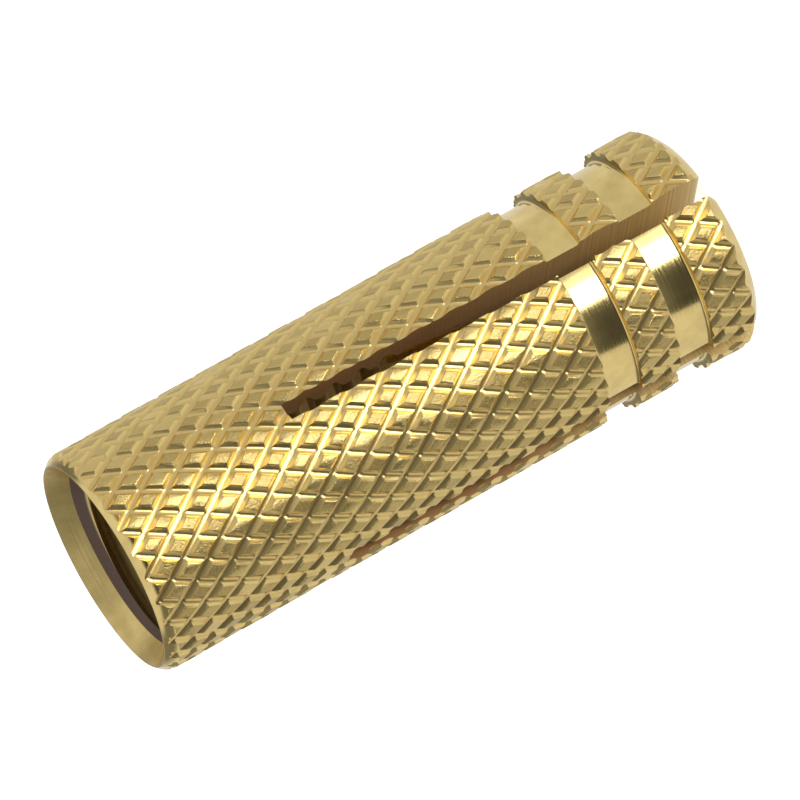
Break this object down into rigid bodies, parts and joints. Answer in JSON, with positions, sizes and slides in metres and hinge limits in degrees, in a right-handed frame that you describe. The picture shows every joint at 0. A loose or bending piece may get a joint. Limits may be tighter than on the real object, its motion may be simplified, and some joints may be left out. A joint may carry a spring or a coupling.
{
  "type": "expansion anchor",
  "caption": "Brass expansion anchor: a diamond-knurled sleeve with a countersunk threaded mouth, two turned grooves and saw cuts that free its legs to spread in a drilled hole.",
  "frame": {"origin": "on the sleeve's axis, at the ends of the legs that it stands on", "axes": "+Z along the sleeve's axis from the ends of the legs out of the threaded mouth; the two saw cuts run across the sleeve along X and along Y"},
  "size_m": [0.0098, 0.0098, 0.0281],
  "materials": {
    "brass": "knurled and turned bar brass, bright from the tool, uncoated"
  },
  "bodies": {
    "root": {"anchor": "brass"}
  },
  "joints": []
}
